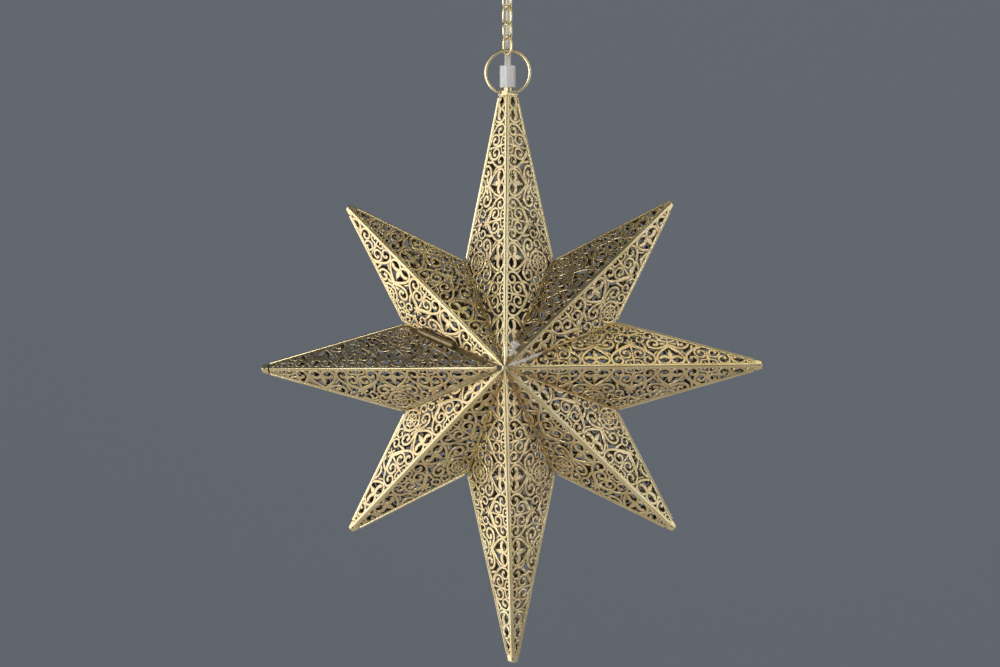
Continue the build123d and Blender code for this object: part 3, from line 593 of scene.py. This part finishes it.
def motif():
    """One repeat of the pattern about a narrow heart, with half a wide heart on each side of it.

    Leaves and drops are short lines with a half width at each of their points.
    """
    half = pattern_pitch / 2
    wheel_height, flower_height = 36.2, 26.4
    narrow_heart = [(0, 7.4), (1.8, 4.3), (5.6, 2.8), (9.6, 4.0), (11.5, 7.6), (10.7, 11.8)]
    narrow_heart += [(7.8, 15.9), (3.7, 19.6), (0, 22.4)]
    wide_side = [(13.2, 7.2), (13.9, 11.4), (17.0, 15.4), (21.6, 19.2), (26.8, 22.4), (half, 25.0)]
    wide_lobe = [(13.2, 7.2), (14.6, 4.0), (18.2, 2.6), (21.8, 4.0), (22.8, 7.6), (20.4, 10.4)]
    wide_lobe += [(17.4, 9.4), (17.6, 7.0)]
    loop = [(half, 24.6), (half - 4.0, 21.4), (half - 9.0, 18.8), (half - 10.6, 14.4), (half - 8.2, 10.2)]
    loop += [(half - 3.8, 10.0), (half - 1.7, 13.4), (half - 3.4, 16.9), (half - 6.8, 16.4)]
    loop += [(half - 7.0, 13.6)]
    small_curl = [(half, 9.2), (half - 2.0, 7.0), (half - 5.4, 6.6), (half - 7.4, 4.2)]
    small_curl += [(half - 5.2, 2.2), (half - 3.0, 3.8)]
    wing = [(0, 23.8), (4.4, 21.6), (9.0, 19.9), (13.8, 20.4), (17.2, 23.6), (16.6, 27.6), (12.6, 29.3)]
    wing += [(8.9, 27.1), (9.6, 23.7), (12.8, 24.0)]
    heart_drop = [(0, 7.6, 0.8), (0, 10.2, 1.5), (0, 12.8, 2.4), (0, 15.6, 1.5), (0, 18.6, 0.4)]
    stem_widths = ((2.4, 0.9), (6.0, 0.9), (9.6, 1.6), (15.0, 0.7), (20.0, 1.2), (25.4, 0.9))
    stem = [(half, v, w) for v, w in stem_widths]
    side_leaf = [(half, 33.4, 0.7), (half - 3.0, 35.4, 1.3), (half - 6.4, 37.0, 1.3), (half - 9.0, 38.2, 0.6)]
    paired = [
        smooth(narrow_heart, 1.25),
        smooth([(0, 8.2), (3.4, 10.2), (7.2, 10.2), (9.8, 8.0)], 1.7, (0.6, 0.5)),
        smooth(wide_side, 1.25),
        smooth(wide_lobe, 1.15, (1, 1.3)),
        smooth([(13.9, 11.4), (12.4, 14.4), (9.4, 17.4)], 0.8, (1, 0.5)),
        smooth(loop, 1.1, (1, 1.3)),
        smooth(small_curl, 0.95, (1, 1.2)),
        smooth(wing, 1.25, (1, 1.3)),
        [(2.0, 24.8, 0.6), (5.2, 25.0, 1.6), (7.2, 24.6, 0.7)],
        [(18.8, 17.2, 0.5), (19.8, 21.0, 1.3), (20.8, 24.4, 1.1), (22.4, 27.4, 0.7)],
        spiral((15.2, 34.2), 4.7, 1.5, 200, -1.1, 0.95),
        spiral((half - 8.2, 30.6), 4.5, 1.4, 60, 1.1, 0.95),
        spiral((20.6, 41.2), 4.5, 1.4, 250, 1.1, 0.95),
        spiral((half - 4.0, 41.6), 3.7, 1.2, 20, 1.05, 0.9),
        smooth([(8.2, 41.6), (11.4, 42.2), (14.4, 40.6), (17.0, 38.4)], 0.9, (0.7, 0.7)),
        smooth([(11.4, 42.2), (11.6, 44.8), (9.8, 46.4)], 0.9, (1, 1.2)),
        smooth([(12.0, 43.0), (14.6, 44.6), (15.6, 46.4)], 0.8),
        side_leaf,
        smooth([(18.4, 44.8), (20.4, 47.6), (half - 7.4, 46.4)], 0.9),
        spiral((6.0, 50.4), 4.5, 1.4, 300, 1.1, 0.95),
        spiral((15.4, 50.4), 4.4, 1.4, 160, 1.1, 0.95),
        spiral((half - 7.0, 50.2), 4.5, 1.4, 0, -1.1, 0.95),
    ]
    single = [
        heart_drop,
        stem,
        [(half, 31.4, 0.5), (half, 34.6, 1.8), (half, 38, 0.6), (half, 54, 0.9)],
        [(0, 23.0, 1.0), (0, 25.0, 1.5), (0, 27.0, 0.8)],
        ring((0, wheel_height), 9.4, 1.1),
        ring((0, wheel_height), 5.5, 0.85),
        ring((0, wheel_height), 1.4, 1.1),
        ring((half, flower_height), 1.4, 1.1),
    ]
    for n in range(8):
        turn = math.radians(45 * n)
        spoke = (1.5, 5.5, 9.4)
        single.append([(r * math.sin(turn), wheel_height + r * math.cos(turn), 0.75) for r in spoke])
    for n in range(6):
        turn = math.radians(60 * n + 30)
        petal = ((1.4, 0.5), (3.0, 1.1), (4.8, 0.6))
        single.append([(half + r * math.sin(turn), flower_height + r * math.cos(turn), w) for r, w in petal])
    return single + paired + [mirrored(line) for line in paired]


def clipped(line, corners):
    """The stretches of a line inside a flat polygon."""
    turn = sum(a.x * b.y - a.y * b.x for a, b in zip(corners, corners[1:] + corners[:1]))
    sign = 1 if turn > 0 else -1
    walls = []
    for a, b in zip(corners, corners[1:] + corners[:1]):
        inward = Vector((-(b - a).y, (b - a).x)).normalized() * sign
        walls.append((a, inward))
    runs, run = [], []
    for here, after in zip(line, line[1:]):
        low, high = 0.0, 1.0
        for place, inward in walls:
            a = (here[0] - place.x) * inward.x + (here[1] - place.y) * inward.y
            b = (after[0] - place.x) * inward.x + (after[1] - place.y) * inward.y
            if a < 0 and b < 0:
                low, high = 1.0, 0.0
            elif a < 0:
                low = max(low, a / (a - b))
            elif b < 0:
                high = min(high, a / (a - b))
        if high <= low:
            if len(run) > 1:
                runs.append(run)
            run = []
            continue
        first = tuple(h + (f - h) * low for h, f in zip(here, after))
        last = tuple(h + (f - h) * high for h, f in zip(here, after))
        if not run or low > 0:
            if len(run) > 1:
                runs.append(run)
            run = [first]
        run.append(last)
        if high < 1:
            runs.append(run)
            run = []
    if len(run) > 1:
        runs.append(run)
    return runs


strands = strand_tree()
strand_middle = -0.15
strand_half_height = 0.55
strand_width = 1.02
strand_rise, strand_round = 0.46, 0.42
margin_low, margin_high = -0.55, 0.05

# How far the margin's inner line, and the strands' middle lines, lie in from a leaf's end and its three edges
margin_end, margin_edges = 1.6, (1.0, 1.3, 1.0)
strand_end, strand_edges = 1.0, (0.5, 0.7, 0.5)


def margin_mesh(outer, inner, hand):
    """The plain margin of a leaf: a flat ring between two outlines, with its thickness."""
    count = len(outer)
    shifts = range(count)
    shift = min(shifts, key=lambda k: sum((outer[n] - inner[(n + k) % count]).length for n in shifts))
    inner = inner[shift:] + inner[:shift]
    rings = [(outer, margin_low), (outer, margin_high), (inner, margin_high), (inner, margin_low)]
    points = [(p.x, p.y * hand, z) for line, z in rings for p in line]
    faces = []
    for a in range(4):
        b = (a + 1) % 4
        for n in range(count):
            m = (n + 1) % count
            faces.append([a * count + n, a * count + m, b * count + m, b * count + n])
    mesh = bpy.data.meshes.new("margin")
    mesh.from_pydata(points, [], faces)
    # The margin's back face gets a rise of 0 and its front 1, so the brass paints the back in shade.
    rise = [0.0 if z == margin_low else 1.0 for line, z in rings for p in line]
    mesh.attributes.new("rise", "FLOAT", "POINT").data.foreach_set("value", rise)
    return outward(mesh)


def room(u, v, outline):
    """The distance from a point to the nearest side of a closed outline."""
    nearest = math.inf
    for n, (first_u, first_v) in enumerate(outline):
        next_u, next_v = outline[(n + 1) % len(outline)]
        side_u, side_v = next_u - first_u, next_v - first_v
        share = ((u - first_u) * side_u + (v - first_v) * side_v) / (side_u**2 + side_v**2)
        share = min(1, max(0, share))
        nearest = min(nearest, math.hypot(u - first_u - side_u * share, v - first_v - side_v * share))
    return nearest


def leaf_meshes(shape, reach, edges, hand, pattern_start):
    """A stamped leaf on its own flat plane: its plain margin and its strands."""
    outer = leaf_outline(shape, reach, edges)
    inner = leaf_outline(shape, reach - margin_end, [a + b for a, b in zip(edges, margin_edges)])
    meet = leaf_outline(shape, reach - strand_end, [a + b for a, b in zip(edges, strand_edges)])
    length = math.hypot(tip_radius[shape], half_depth)
    points, lines, widths = [], [], []
    for repeat in range(-1, int(length / pattern_pitch) + 2):
        start = pattern_start + repeat * pattern_pitch
        for line in motif():
            for run in clipped([(start + u, v, w) for u, v, w in line], meet):
                first = len(points)
                points += [(u, v * hand, strand_middle) for u, v, w in run]
                widths += [min(w * strand_width, room(u, v, outer)) for u, v, w in run]
                lines += [(first + n, first + n + 1) for n in range(len(run) - 1)]
    source = bpy.data.meshes.new("lines")
    source.from_pydata(points, lines, [])
    source.attributes.new("half_width", "FLOAT", "POINT").data.foreach_set("value", widths)
    limits = {"Top": strand_middle + strand_half_height, "Bottom": strand_middle - strand_half_height}
    scroll = strands.run(source, {"Rise": strand_rise, "Round": strand_round, **limits}, "scroll")
    return [margin_mesh(outer, inner, hand), scroll]


# How far a leaf is cut back from its ridge, outline and valley, and from its tip cap
leaf_edges, leaf_end_gap = (1.8, 1.8, 0.1), 0.05
door_edges, door_end_gap = (1.8, 2.1, 1.4), 1.3
leaf_cache = {}


def leaf(name, side, face):
    """A leaf's meshes in their place in the star."""
    door = name == "w" and face < 0
    shape = kind(name)
    edges = door_edges if door else leaf_edges
    reach = cap_start(name) - (door_end_gap if door else leaf_end_gap)
    place, hand = leaf_place(name, side, face)
    pattern_start = heart_start[name] + (back_shift if face > 0 else 0)
    key = (shape, round(reach, 3), hand, pattern_start)
    if key not in leaf_cache:
        leaf_cache[key] = leaf_meshes(shape, reach, edges, hand, pattern_start)
    made = [mesh.copy() for mesh in leaf_cache[key]]
    for mesh in made:
        mesh.transform(place)
    return made


for face, face_name in ((-1, "front"), (1, "back")):
    for name in point_names:
        door = name == "w" and face < 0
        mesh = joined([mesh for side in (-1, 1) for mesh in leaf(name, side, face)])
        node = "door_panel" if door else f"{face_name}_panel_{name}"
        label = "door_scrollwork" if door else f"{face_name}_scrollwork_{name}"
        piece(label, mesh, "door" if door else "star", [node], "pierced_brass", stamped)


# Ridges: a strip folded over each one, with a rounded crest

strip_half, strip_low, strip_high = 2.0, 0.2, 0.22
bead_radius, bead_foot = 1.15, 0.8
strip_rows = 60
tip_taper, middle_taper = 16, 26
ridge_start, door_ridge_start = 1.2, 7.0


def folded_strip(name, face, start, end):
    """The strip over one ridge with its round crest, from near the middle to a distance along its point."""
    ridge = (tip(name) - apex(face)).normalized()
    radial = ridge.dot(towards(point_angle(name)))
    flanges = []
    for side in (-1, 1):
        normal = leaf_normal(name, side, face)
        across = normal.cross(ridge).normalized()
        across = across if (notch(name, side) - apex(face)).dot(across) > 0 else -across
        side_line, high = across * strip_half, normal * strip_high
        flanges.append([side_line - normal * strip_low, side_line + high, across * bead_foot + high])
    crest = ridge.cross(flanges[0][0] - flanges[1][0]).normalized()
    crest = crest if crest.y * face > 0 else -crest
    sideways = crest.cross(ridge)
    sideways = sideways if sideways.dot(flanges[0][0]) > 0 else -sideways
    bead = []
    for angle in (70, 35, 0, -35, -70):
        turn = math.radians(angle)
        bead.append((sideways * math.sin(turn) + crest * math.cos(turn)) * bead_radius)
    section = flanges[0] + bead + flanges[1][::-1] + [crest * -0.4]
    length = math.hypot(tip_radius[kind(name)], half_depth)
    rng = np.random.default_rng(7 + point_names.index(name) + (8 if face > 0 else 0))
    sway = np.convolve(rng.normal(0, 0.16, strip_rows + 5), np.ones(5) / 5, "valid")
    rows = []
    for n in range(strip_rows + 1):
        along = start + (end / radial - start) * n / strip_rows
        width = min(1, (length - along) / tip_taper, 0.3 + along / middle_taper)
        middle = apex(face) + ridge * along + sideways * sway[n]
        rows.append([(middle + offset * width) * MM for offset in section])
    return lofted("strip", rows)


for face, face_name in ((-1, "front"), (1, "back")):
    strips = []
    for name in point_names:
        if face > 0 or name != "w":
            end_gap = 0.8 if name == "n" else 0.1
            strips.append(folded_strip(name, face, ridge_start, cap_start(name) - end_gap))
    beads = f"ridge_beads_{face_name}"
    piece(f"ridge_strips_{face_name}", joined(strips), "star", [beads], "brass", bright)
door_ridge = folded_strip("w", -1, door_ridge_start, cap_start("w") - 1.6)
piece("door_ridge_strip", joined([door_ridge]), "door", ["door_ridge_bead"], "brass", bright)


# Solder: lumpy runs in two of the front valleys

def solder_run(angle, start, end, thick, seed):
    """A run of solder along a front valley, from one distance from the middle to another."""
    low = star_middle + towards(angle) * notch_radius
    valley = (low - apex(-1)).normalized()
    out = valley.cross(towards(angle + 90)).normalized()
    out = out if out.y < 0 else -out
    across = out.cross(valley)
    rng = np.random.default_rng(seed)
    count, sides = int((end - start) / 0.7), 10
    rounded = np.hanning(7)[1:-1] / np.hanning(7).sum()
    lump = np.convolve(rng.normal(0, 0.55, count + 5), rounded, "valid")
    sway = np.convolve(rng.normal(0, 0.9, count + 5), rounded, "valid")
    rows = []
    for n in range(count + 1):
        share = n / count
        radius = thick * max(0.5, 0.75 + lump[n]) * min(1, 6 * share + 0.2, 6 * (1 - share) + 0.2)
        middle = apex(-1) + valley * (start + (end - start) * share) + across * sway[n] + out * 0.35
        row = []
        for m in range(sides):
            turn = 2 * math.pi * m / sides
            size = max(0.3, radius) * (1 + 0.07 * rng.normal())
            bulge = across * math.cos(turn) * 1.25 + out * math.sin(turn) * 0.8
            row.append((middle + bulge * size) * MM)
        rows.append(row)
    return lofted("solder", rows)


piece("solder_run_upper", solder_run(67.5, 11, 28, 3.9, 3), "star", (), "brass", solder)
piece("solder_run_right", solder_run(22.5, 4, 38, 2.3, 5), "star", (), "brass", solder)


# Chain

links = link_tree()
first_link_top, link_pitch = -59.1, 12.6
link_inner_length, link_inner_width, link_wire = 13.0, 7.6, 2.0
for number in range(1, 7):
    middle = first_link_top - (number - 1) * link_pitch - link_inner_length / 2
    values = {
        "Inner Width": link_inner_width * MM,
        "Inner Length": link_inner_length * MM,
        "Wire": link_wire * MM,
        "Turn": math.radians(50 if number % 2 else -40),
        "Height": middle * MM,
    }
    mesh = links.run(bpy.data.meshes.new("seed"), values, f"link_{number}")
    body = "chain_top" if number == 1 else f"link_{number}"
    piece(f"wire_link_{number}", mesh, body, [f"chain_link_{number}"], "brass")


# Flex: a flat twin cord behind the chain, on the same route as the solids

flex_width, flex_thickness = 5.6, 2.8
grip_top = -145.78
flex_route = [
    (0, 17.0, -41.6),
    (0, 17.6, -66.5),
    (0, 17.9, -88.6),
    (0, 16.8, -108.6),
    (0, 12.6, -128.2),
    (0, 0, grip_top + 5.0),
    (0, 0, grip_top - 6.0),
]


def between(first, second):
    return tuple((a + b) / 2 for a, b in zip(first, second))


def spline_points(points):
    """Points read from a smooth line that has these as its control points, in metres."""
    curve = bpy.data.curves.new("route", "CURVE")
    curve.dimensions = "3D"
    spline = curve.splines.new("NURBS")
    spline.points.add(len(points) - 1)
    for control, point in zip(spline.points, points):
        control.co = (*(x * MM for x in point), 1)
    spline.order_u = 3
    spline.use_endpoint_u = True
    spline.resolution_u = 14
    line = bpy.data.objects.new("route", curve)
    bpy.context.scene.collection.objects.link(line)
    mesh = bpy.data.meshes.new_from_object(line.evaluated_get(bpy.context.evaluated_depsgraph_get()))
    found = [v.co.copy() for v in mesh.vertices]
    bpy.data.objects.remove(line)
    return found


def twin_section():
    """The outline of two touching cores: across and through the flex."""
    radius = flex_thickness / 2
    line = []
    for side in (1, -1):
        for n in range(15):
            angle = math.radians(-150 + 300 * n / 14)
            line.append((side * (radius + radius * math.cos(angle)), side * radius * math.sin(angle)))
    return line


def twin_flex(name, points, node):
    """A stretch of flex along a smooth line through these points, in place of its solid."""
    line = spline_points(points)
    section = twin_section()
    rows = []
    for n, here in enumerate(line):
        tangent = (line[min(n + 1, len(line) - 1)] - line[max(n - 1, 0)]).normalized()
        across = Vector((1, 0, 0))
        through = tangent.cross(across).normalized()
        rows.append([here + across * (x * MM) + through * (y * MM) for x, y in section])
    made = piece(name, lofted(name, rows), None, [node], "flex", cover)
    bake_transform(made)


upper_end = between(flex_route[1], flex_route[2])
middle_end = between(flex_route[3], flex_route[4])
upper_points = [*flex_route[:2], upper_end]
middle_points = [upper_end, *flex_route[2:4], middle_end]
lower_points = [middle_end, *flex_route[4:]]
twin_flex("flex_by_the_hook", upper_points, "flex_upper")
twin_flex("flex_by_the_chain", middle_points, "flex_middle")
twin_flex("flex_to_the_grip", lower_points, "flex_lower")


# Finishes of the solids that are shown as they are

solid_finishes = [
    (bright, "rose_cup", "hook_eye", "cup_collar", "hanging_ring", "hanger_cap", "outline_wires"),
    (bright, "threaded_tube", "tube_nut_top", "tube_nut_bottom", "lampholder_contacts"),
    (bright, "tip_caps", "centre_bosses"),
    (aged, "hinge_leaf_fixed", "hinge_leaf_door", "hinge_pin"),
    (edge, "door_edge_strip"),
    (steel, "ceiling_strap", "hook_nuts", "terminal_screws", "cord_grip_screw", "bulb_cap"),
    (cover, "flex_tail", "inner_flex"),
    (nylon, "cord_grip"),
    (white_plastic, "flex_bush", "terminal_block"),
    (black_plastic, "lampholder_cap", "lampholder_body"),
    (glass, "bulb_glass"),
]
for finish, *names in solid_finishes:
    finish.on(*(nodes[name] for name in names))


# Stage, lights and camera

def stage_sheet(name, points, faces, colour, glow=0.0):
    """A floor or backdrop. A glow shows it paler, to the camera and in reflections alone."""
    mesh = bpy.data.meshes.new(name)
    mesh.from_pydata(points, [], faces)
    sheet = bpy.data.objects.new(name, mesh)
    bpy.context.scene.collection.objects.link(sheet)
    paint = Finish(name, Roughness=0.9)
    paint.set(**{"Base Color": (*colour, 1)})
    if glow:
        rays = ("Is Camera Ray", "Is Glossy Ray", "Is Transmission Ray")
        seen = sum(paint.add("ShaderNodeLightPath", {}, {}, ray) for ray in rays)
        paint.set(**{"Emission Color": paint.shade(seen * glow, (*colour, 1)), "Emission Strength": 1.0})
    paint.on(sheet)


floor_z = -1.6
floor_points = [(x, y, floor_z) for y in (-7, 7) for x in (-9, 9)]
stage_sheet("floor", floor_points, [(0, 1, 3, 2)], (0.76, 0.71, 0.64), 0.25)
wall_points = [(x, 5.0, z) for z in (floor_z, 6.0) for x in (-9, 9)]
stage_sheet("backdrop", wall_points, [(0, 1, 3, 2)], (0.17, 0.19, 0.22), 0.5)


def soft_light(name, place, target, size, power, colour=(1, 1, 1)):
    lamp = bpy.data.lights.new(name, "AREA")
    lamp.shape = "RECTANGLE"
    lamp.size, lamp.size_y = size
    lamp.energy = power
    lamp.color = colour
    light = bpy.data.objects.new(name, lamp)
    light.location = place
    light.rotation_euler = (Vector(target) - Vector(place)).to_track_quat("-Z", "Y").to_euler()
    light.visible_camera = False
    bpy.context.scene.collection.objects.link(light)


star_place = star_middle * MM
soft_light("left", (-1.15, -0.12, -0.36), star_place, (1.0, 1.5), 5.9, (1, 0.99, 0.96))
soft_light("right", (1.35, -0.25, -0.35), star_place, (0.9, 1.2), 2.8)
soft_light("front", (-0.95, -1.8, -0.1), star_place, (0.9, 0.9), 15)
soft_light("top", (0.26, -0.05, 0.05), star_place, (0.2, 0.35), 0.22, (1, 0.9, 0.66))

world = bpy.data.worlds.new("studio")
world.use_nodes = True
sky = world.node_tree.nodes
direction = sky.new("ShaderNodeTexCoord")
height = sky.new("ShaderNodeSeparateXYZ")
shades = sky.new("ShaderNodeValToRGB")
sky_stops = [(0.1, (0.28, 0.28, 0.28, 1)), (0.8, (0.10, 0.11, 0.12, 1))]
for element, (place, colour) in zip(shades.color_ramp.elements, sky_stops):
    element.position = place
    element.color = colour
world.node_tree.links.new(direction.outputs["Generated"], height.inputs[0])
world.node_tree.links.new(height.outputs["Z"], shades.inputs["Fac"])
world.node_tree.links.new(shades.outputs["Color"], sky["Background"].inputs["Color"])
bpy.context.scene.world = world

# The camera faces the star from a little to its right, with the star's middle at its own pixel
picture_width, picture_height = 1000, 667
pixel = 0.84 * MM
distance = 2.2
turn = math.radians(4.6)
roll = math.radians(-0.5)
right = Vector((math.cos(turn), math.sin(turn), 0))
away = Vector((math.sin(turn), -math.cos(turn), 0))
star_x, star_y = 510.0, 367.0
aim = star_place - right * ((star_x - picture_width / 2) * pixel)
aim.z += (star_y - picture_height / 2) * pixel
lens = bpy.data.cameras.new("camera")
lens.sensor_width = 36
lens.lens = lens.sensor_width * distance / (picture_width * pixel)
camera = bpy.data.objects.new("camera", lens)
facing = Matrix((right, Vector((0, 0, 1)), away)).transposed().to_4x4()
camera.matrix_world = Matrix.Translation(aim + away * distance) @ facing @ Matrix.Rotation(roll, 4, "Z")
bpy.context.scene.collection.objects.link(camera)
bpy.context.scene.camera = camera

bpy.context.scene.view_settings.view_transform = "Standard"
